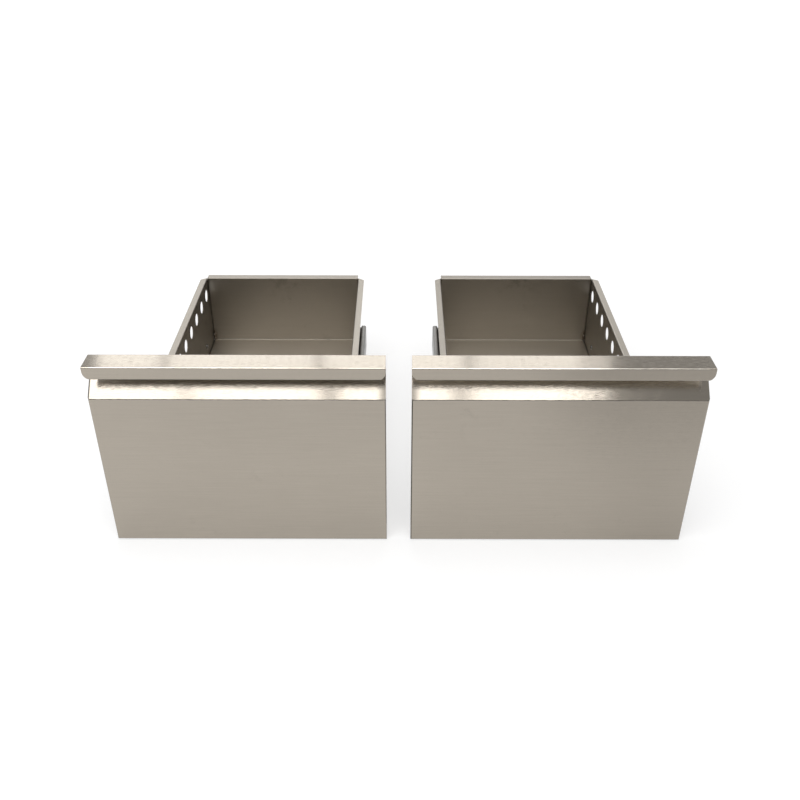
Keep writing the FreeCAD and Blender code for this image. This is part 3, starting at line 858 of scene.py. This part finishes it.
class DRAWERS_OT_load_balls(bpy.types.Operator):
    """Load the balls into the cages, with the rims that hold them"""

    bl_idname = "drawers.load_balls"
    bl_label = "Load Balls"

    def execute(self, context):
        look = context.scene.drawer_slides
        steel = turned_steel("ball_steel", rgba(look.ball), 0.12)
        strip = bpy.data.materials["cage_strip"]
        for drawer in DRAWERS:
            for node, sign in sides(drawer):
                for which in CAGES:
                    balls, rims = self.fill(node, sign, which, look.ball_segments)
                    body = f"{drawer}_{which}_cages"
                    add_piece(node(f"{which}_balls"), balls, body, steel)
                    add_piece(node(f"{which}_ball_rims"), rims, body, strip)
        return {"FINISHED"}

    def fill(self, node, sign, which, segments):
        """The balls of one cage and the rims that hold them, sized from the rails on both sides of it."""
        outside, inside, reach = CAGES[which]
        low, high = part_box(node(f"{which}_cage"))
        outside_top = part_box(node(outside))[1].z - RAIL_SHEET
        inside_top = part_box(node(inside))[1].z
        middle = (low.z + high.z) / 2
        race = (outside_top + inside_top) / 2 - middle
        radius = (outside_top - inside_top) / 2 - BALL_CLEARANCE
        flange = high.z - CAGE_SHEET / 2 - middle
        web = high.x if sign > 0 else low.x
        across = web - sign * reach
        gap = 0.05 * MM
        bore = math.sqrt(radius ** 2 - (race - flange) ** 2) + gap
        rim = min(abs(across - (low.x if sign > 0 else high.x)) - gap, RIM_RADIUS)
        thickness = CAGE_SHEET / 2 + 0.06 * MM
        balls = bmesh.new()
        rims = bmesh.new()
        pitch = (high.y - low.y) / POCKETS
        ring = [(bore, -thickness), (rim, -thickness), (rim, thickness), (bore, thickness)]
        for i in range(POCKETS):
            for side in (-1, 1):
                centre = Vector((across, low.y + pitch * (i + 0.5), middle + side * race))
                matrix = Matrix.Translation(centre)
                bmesh.ops.create_uvsphere(
                    balls, u_segments=segments, v_segments=segments // 2 + 2, radius=radius, matrix=matrix)
                matrix = Matrix.Translation((centre.x, centre.y, middle + side * flange))
                close_loop(lathe(rims, ring, RIM_SIDES, matrix), rims, RIM_SIDES)
        return smooth_mesh(balls, "balls", SHARP_WELD), smooth_mesh(rims, "rims")


class DRAWERS_OT_mould_levers(bpy.types.Operator):
    """Mould the release levers, with rounded edges and ribs for the finger"""

    bl_idname = "drawers.mould_levers"
    bl_label = "Mould Levers"

    def execute(self, context):
        look = context.scene.drawer_slides
        plastic = moulded("lever_plastic", rgba(look.lever), 0.42, 3200.0, 0.04 * MM)
        for drawer in DRAWERS:
            for end in SIDES:
                name = f"{drawer}_release_lever_{end}"
                shape = softened(name, 0.5 * MM)
                self.ribs(shape, *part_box(name))
                mesh = smooth_mesh(shape, "lever")
                piece = add_piece(f"{name}_moulded", mesh, f"{drawer}_lever_{end}", plastic)
                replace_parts(piece, name)
        return {"FINISHED"}

    def ribs(self, shape, low, high):
        """Ridges across the finger tip, on both its faces, each sunk a little into the lever."""
        margin = 1.2 * MM
        length = high.z - low.z - 2 * margin
        tip = [(0, 0), (0.3 * MM, 0.15 * MM), (0.42 * MM, 0.6 * MM)]
        profile = tip + [(radius, length - height) for radius, height in reversed(tip)]
        for i in range(RIBS):
            depth = low.y + 2.4 * MM + RIB_PITCH * i
            for face in (low.x + 0.1 * MM, high.x - 0.1 * MM):
                lathe(shape, profile, RIB_SIDES, Matrix.Translation((face, depth, low.z + margin)))


# Small parts


def pan_head(radius, height):
    """The profile of a low domed head, from the middle of its top to its lower rim."""
    steps = 6
    flat = 0.55
    crown = 0.12
    shoulder = 0.8
    profile = [(0, 0), (radius * flat, height * crown)]
    for i in range(1, steps + 1):
        turn = math.pi / 2 * i / steps
        reach = flat + (1.0 - flat) * math.sin(turn)
        drop = shoulder - (shoulder - crown) * math.cos(turn)
        profile.append((radius * reach, height * drop))
    return profile + [(radius, height)]


def threaded(radius, start, end, pitch):
    """The profile of a screw's turns between two heights."""
    core = radius * 0.82
    count = max(1, round((end - start) / pitch))
    profile = []
    for i in range(count):
        foot = start + (end - start) * i / count
        profile += [(core, foot + 0.05 * pitch), (radius, foot + 0.5 * pitch)]
    return profile + [(core, end)]


class DRAWERS_OT_fit_screws(bpy.types.Operator):
    """Fit the screws with round heads and cross recesses, and head the levers' rivets"""

    bl_idname = "drawers.fit_screws"
    bl_label = "Fit Screws"

    def execute(self, context):
        fasteners = context.scene.drawer_fasteners
        steel = turned_steel("turned_screw", rgba(fasteners.screw), 0.25)
        for drawer in DRAWERS:
            for node, sign in sides(drawer):
                self.rail_screws(drawer, node, sign, fasteners, steel)
                self.rivet(drawer, node, sign, steel)
            self.front_screws(drawer, fasteners, steel)
        return {"FINISHED"}

    def rail_screws(self, drawer, node, sign, fasteners, steel):
        name = node("rail_screws")
        low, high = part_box(name)
        radius = fasteners.head / 2
        length = high.x - low.x
        top = low.x if sign > 0 else high.x
        axis = Vector((sign, 0, 0))
        shape = bmesh.new()
        profile = pan_head(radius, SCREW_HEAD) + [(SCREW_THREAD, SCREW_HEAD)]
        profile += threaded(SCREW_THREAD, SCREW_HEAD + 0.2 * MM, length - 0.4 * MM, THREAD_PITCH)
        profile += [(SCREW_THREAD * 0.75, length), (0, length)]
        tops = [Vector((top, depth, (low.z + high.z) / 2)) for depth in (low.y + radius, high.y - radius)]
        for place in tops:
            lathe(shape, profile, SCREW_SIDES, turned_to(place, axis))
        mesh = cut_mesh(smooth_mesh(shape, "rail_screws"), cross_recesses(tops, -axis, fasteners.recess))
        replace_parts(add_piece(f"{name}_turned", mesh, drawer, steel), name)

    def rivet(self, drawer, node, sign, steel):
        """A rivet with a domed head, whose foot stands on the drawer rail."""
        name = node("lever_rivet")
        low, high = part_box(name)
        radius = (high.y - low.y) / 2
        length = high.x - low.x
        middle = (low + high) / 2
        top = Vector((high.x if sign > 0 else low.x, middle.y, middle.z))
        shape = bmesh.new()
        profile = pan_head(radius, RIVET_HEAD)
        profile += [(RIVET_SHANK, RIVET_HEAD), (RIVET_SHANK, length), (0, length)]
        lathe(shape, profile, SCREW_SIDES, turned_to(top, Vector((-sign, 0, 0))))
        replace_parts(add_piece(f"{name}_headed", smooth_mesh(shape, "rivet"), drawer, steel), name)

    def front_screws(self, drawer, fasteners, steel):
        """Four screws through the front of the box into the liner of the front."""
        low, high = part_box(f"{drawer}_tray")
        middle = (low.x + high.x) / 2
        shape = bmesh.new()
        axis = Vector((0, 1, 0))
        tops = []
        head = pan_head(fasteners.head / 2, SCREW_HEAD) + [(0, SCREW_HEAD)]
        for across in (-FRONT_SCREW_SPREAD, FRONT_SCREW_SPREAD):
            for share in (0.28, 0.78):
                height = low.z + (high.z - low.z) * share
                top = Vector((middle + across, low.y + SHEET + SCREW_HEAD, height))
                lathe(shape, head, SCREW_SIDES, turned_to(top, -axis))
                tops.append(top)
        mesh = cut_mesh(smooth_mesh(shape, "front_screws"), cross_recesses(tops, axis, fasteners.recess))
        add_piece(f"{drawer}_front_screws", mesh, drawer, steel)


class DRAWERS_OT_mould_rubber(bpy.types.Operator):
    """Mould the pads behind the fronts and the stops at the back of the rails, with soft edges"""

    bl_idname = "drawers.mould_rubber"
    bl_label = "Mould Rubber"

    def execute(self, context):
        look = context.scene.drawer_slides
        rubber = moulded("grey_rubber", rgba(look.rubber), 0.72, 2400.0, 0.06 * MM)
        for drawer in DRAWERS:
            name = f"{drawer}_rubber_pads"
            mesh = smooth_mesh(softened(name, 0.6 * MM), "pads")
            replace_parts(add_piece(f"{name}_soft", mesh, drawer, rubber), name)
            for node, _ in sides(drawer):
                name = node("rear_stop")
                mesh = smooth_mesh(softened(name, 0.6 * MM), "stop")
                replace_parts(add_piece(f"{name}_soft", mesh, "cabinet_rails", rubber), name)
        return {"FINISHED"}


# Studio


def softbox(name, place, aim, size, brightness):
    """A rectangular lamp that lights and is reflected, but isn't seen itself."""
    lamp = bpy.data.lights.new(name, "AREA")
    lamp.shape = "RECTANGLE"
    lamp.size, lamp.size_y = size
    lamp.energy = brightness * math.pi * size[0] * size[1]
    holder = bpy.data.objects.new(name, lamp)
    bpy.context.scene.collection.objects.link(holder)
    holder.location = place
    holder.rotation_euler = (Vector(aim) - Vector(place)).to_track_quat("-Z", "Y").to_euler()
    holder.visible_camera = False


class DRAWERS_OT_set_stage(bpy.types.Operator):
    """Set the pale floor, the soft lamps and the camera"""

    bl_idname = "drawers.set_stage"
    bl_label = "Set Stage"

    def execute(self, context):
        studio = context.scene.drawer_studio
        self.floor(studio)
        self.world(studio)
        self.lamps(studio)
        self.camera(studio)
        context.scene.view_settings.view_transform = "Standard"
        return {"FINISHED"}

    def seen(self, nodes):
        """1 for rays from the camera and for those that a mirror or glass sends on."""
        camera = nodes.once("ShaderNodeLightPath", "Is Camera Ray")
        glossy = nodes.once("ShaderNodeLightPath", "Is Glossy Ray")
        through = nodes.once("ShaderNodeLightPath", "Is Transmission Ray")
        return camera.at_least(glossy).at_least(through)

    def floor(self, studio):
        material = bpy.data.materials.new("pale_floor")
        nodes = Nodes(material)
        mottle = nodes.noise(nodes.place(), 3.0, 3.0, 0.5)
        light = nodes.grey(1.0 + (mottle - 0.5) * 0.02)
        colour = nodes.blend_colour(1.0, rgba(studio.floor), light, "MULTIPLY")
        matt = nodes.add("ShaderNodeBsdfDiffuse", inputs={"Color": colour})
        glow = nodes.grey(self.floor_glow(nodes, studio.floor_lift))
        lift = nodes.add("ShaderNodeEmission", inputs={"Color": glow, "Strength": 1.0})
        lifted = nodes.add("ShaderNodeAddShader", inputs={0: matt, 1: lift})
        shader = nodes.add("ShaderNodeMixShader", inputs={0: self.seen(nodes), 1: matt, 2: lifted})
        nodes.add_output("ShaderNodeOutputMaterial", shader)
        shape = bmesh.new()
        bmesh.ops.create_grid(shape, x_segments=12, y_segments=12, size=FLOOR_HALF)
        floor = bpy.data.objects.new("floor", smooth_mesh(shape, "floor"))
        floor.location.z = CAD_BOX[0].z - FLOOR_GAP
        floor.data.materials.append(material)
        bpy.context.scene.collection.objects.link(floor)

    def floor_glow(self, nodes, lift):
        """The floor's own light: more far away, with a painted shadow close beside the unit's front, and
        painted shade in what the steel mirrors.
        """
        low, high = CAD_BOX
        sideways = nodes.part(nodes.place(), "X")
        forward = 0.0 - nodes.part(nodes.place(), "Y")
        distance = nodes.add("ShaderNodeVectorMath", {"operation": "LENGTH"}, {0: nodes.place()}, "Value")
        far = distance.ramp(0.6, 2.0)
        close = 1.0 - forward.ramp(0.3, 0.5)
        ahead = forward.ramp(0.4, 0.75)
        near_right = sideways.ramp(0.0, 0.1) * 0.02
        right = sideways.ramp(0.2, 0.44)
        glossy = nodes.once("ShaderNodeLightPath", "Is Glossy Ray")
        # Painted shade that only the steel's reflections show, most ahead of the unit and to the right
        mirrored_shade = (0.02 + close * 0.03 + near_right + ahead * 0.11 + right * (0.10 + ahead * 0.17)) * glossy
        # A painted shadow on the floor close in front of and beside the unit's front
        outside = abs(sideways) - high.x
        ahead_of = forward + low.y
        beside = (1.0 - outside.at_least(ahead_of).ramp(0.0, 90 * MM)) * ahead_of.ramp(-4 * MM, 0.0)
        return lift + far * 0.45 - beside * 0.05 - mirrored_shade

    def world(self, studio):
        """White all round. Mirrored, it has a dark front under the lamps and a dim back below the ceiling."""
        world = bpy.data.worlds.new("studio")
        bpy.context.scene.world = world
        nodes = Nodes(world)
        towards = nodes.add("ShaderNodeTexCoord", output="Generated")
        up = nodes.part(towards, "Z")
        front = (0.0 - nodes.part(towards, "Y")).ramp(0.0, 0.3)
        over_camera = 0.10 + up.ramp(0.35, 0.5) * 0.30
        behind = 1.0 - up.ramp(0.2, 0.6) * 0.68 + up.ramp(0.76, 0.84) * 1.9 - up.ramp(0.95, 0.99) * 1.3
        reflected = behind + (over_camera - behind) * front * up.ramp(0.0, 0.08)
        glossy = nodes.once("ShaderNodeLightPath", "Is Glossy Ray")
        around = nodes.grey(1.0 + (reflected - 1.0) * glossy)
        fill = nodes.add("ShaderNodeBackground", inputs={"Color": (1, 1, 1, 1), "Strength": studio.fill})
        white = nodes.add("ShaderNodeBackground", inputs={"Color": around, "Strength": 1.0})
        shader = nodes.add("ShaderNodeMixShader", inputs={0: self.seen(nodes), 1: fill, 2: white})
        nodes.add_output("ShaderNodeOutputWorld", shader)

    def lamps(self, studio):
        """Rows of softboxes over the camera and behind the unit, whose last ones are smaller or dimmer.

        The gaps between them are mirrored as dark bars in the recesses and grips.
        """
        front = ((-1.222, -0.725), (-0.700, -0.258), (-0.208, 0.182), (0.232, 0.565))
        back = ((-1.155, -0.905), (-0.885, -0.318), (-0.298, 0.248))
        behind = ((1.7, 1.4), (-0.1, 0.2), 0.9)
        self.row("front_softbox", front, (-0.9, 1.9), (-0.25, 0.2), 1.5, studio.front_box)
        self.row("front_corner", ((0.565, 0.635),), (-0.807, 1.936), (-0.157, 0.236), 1.3, studio.front_box)
        self.row("front_end", ((0.635, 0.690),), (-0.713, 1.971), (-0.063, 0.271), 1.1, studio.front_box)
        self.row("back_softbox", back, *behind, studio.back_box)
        self.row("back_corner", ((0.274, 0.690),), *behind, studio.back_box * 0.92)
        self.row("back_end", ((0.695, 0.805),), *behind, studio.back_box * 0.56)

    def row(self, name, spans, place, aim, height, brightness):
        """Softboxes that span the pairs given along X. Place and aim are depths and heights."""
        for i, (left, right) in enumerate(spans):
            across = (left + right) / 2
            softbox(f"{name}_{i + 1}", (across, *place), (across, *aim), (right - left, height), brightness)

    def camera(self, studio):
        camera = bpy.data.cameras.new("camera")
        camera.sensor_width = 36.0
        camera.lens = studio.lens
        holder = bpy.data.objects.new("camera", camera)
        bpy.context.scene.collection.objects.link(holder)
        looking = Matrix.Rotation(math.pi / 2 - studio.tilt, 4, "X") @ Matrix.Rotation(studio.roll, 4, "Z")
        holder.matrix_world = Matrix.Translation(studio.camera) @ looking
        bpy.context.scene.camera = holder


class DRAWERS_PT_panel(bpy.types.Panel):
    """Buttons for every piece, in the order in which they are made"""

    bl_label = "Outdoor Kitchen Drawers"
    bl_idname = "DRAWERS_PT_panel"
    bl_space_type = "VIEW_3D"
    bl_region_type = "UI"
    bl_category = "Drawers"

    def draw(self, context):
        for operator in OPERATORS:
            self.layout.operator(operator.bl_idname)
        for name, settings in SETTINGS.items():
            box = self.layout.box()
            for setting in settings.__annotations__:
                box.prop(getattr(context.scene, name), setting)


SETTINGS = {
    "drawer_fronts": SteelSettings,
    "drawer_boxes": SteelSettings,
    "drawer_slides": SlideSettings,
    "drawer_fasteners": FastenerSettings,
    "drawer_studio": StudioSettings,
}

OPERATORS = (
    DRAWERS_OT_brush_fronts,
    DRAWERS_OT_finish_boxes,
    DRAWERS_OT_plate_slides,
    DRAWERS_OT_load_balls,
    DRAWERS_OT_mould_levers,
    DRAWERS_OT_fit_screws,
    DRAWERS_OT_mould_rubber,
    DRAWERS_OT_lay_welds,
    DRAWERS_OT_set_stage,
)

CLASSES = tuple(dict.fromkeys(SETTINGS.values())) + OPERATORS + (DRAWERS_PT_panel,)


def register():
    for cls in CLASSES:
        bpy.utils.register_class(cls)
    for name, group in SETTINGS.items():
        setattr(bpy.types.Scene, name, bpy.props.PointerProperty(type=group))


def unregister():
    for name in SETTINGS:
        delattr(bpy.types.Scene, name)
    for cls in reversed(CLASSES):
        bpy.utils.unregister_class(cls)


def main():
    register()
    boxes = bpy.context.scene.drawer_boxes
    boxes.tint = (0.388, 0.357, 0.312)
    boxes.roughness = 0.38
    boxes.spread = 0.3
    boxes.streaks = 0.04
    boxes.clouding = 0.05
    boxes.smudges = 0.10
    boxes.edges = 0.2
    for operator in OPERATORS:
        group, name = operator.bl_idname.split(".")
        getattr(getattr(bpy.ops, group), name)()


if __name__ == "__main__":
    main()
